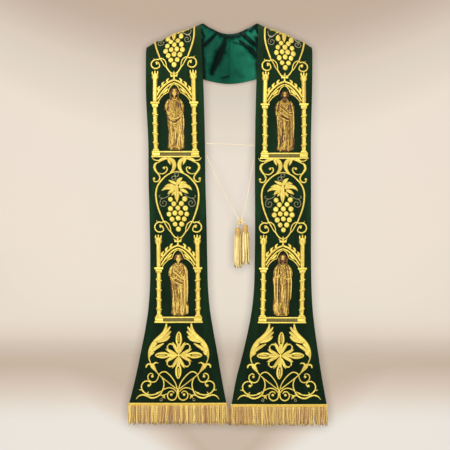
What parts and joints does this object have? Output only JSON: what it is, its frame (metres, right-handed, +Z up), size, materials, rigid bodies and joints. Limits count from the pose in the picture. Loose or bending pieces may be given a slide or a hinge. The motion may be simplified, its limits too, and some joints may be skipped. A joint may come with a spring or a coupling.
{
  "type": "clerical stole",
  "caption": "Long velvet vestment band in worn form, flared to fringed hems, with a satin lining and a tasselled tie cord across the chest.",
  "frame": {"origin": "where the wearer's neck and shoulders carry the stole, midway between the tops of the two shoulder crests", "axes": "+X to the wearer's left, -Y to the front, +Z up"},
  "size_m": [0.5198, 0.1999, 1.0619],
  "materials": {
    "velvet": "dark green cotton velvet, short pile with a soft sheen",
    "lining": "bright green satin, glossy",
    "gold_braid": "gold metallic yarn, woven braid",
    "gold_fringe": "gold metallic yarn, twisted threads",
    "gold_cord": "gold metallic yarn, twisted cord"
  },
  "bodies": {
    "root": {"velvet_left": "velvet", "velvet_right": "velvet", "lining_left": "lining", "lining_right": "lining", "fringe_header_left": "gold_braid", "fringe_header_right": "gold_braid", "fringe_left": "gold_fringe", "fringe_right": "gold_fringe", "cord_tab_left": "lining", "cord_tab_right": "lining", "cord_across": "gold_cord", "cord_fall_left": "gold_cord", "cord_fall_right": "gold_cord", "cord_knot": "gold_cord", "cord_tail_left": "gold_cord", "cord_tail_right": "gold_cord", "tassel_head_left": "gold_cord", "tassel_head_right": "gold_cord", "tassel_skirt_left": "gold_fringe", "tassel_skirt_right": "gold_fringe"}
  },
  "joints": []
}
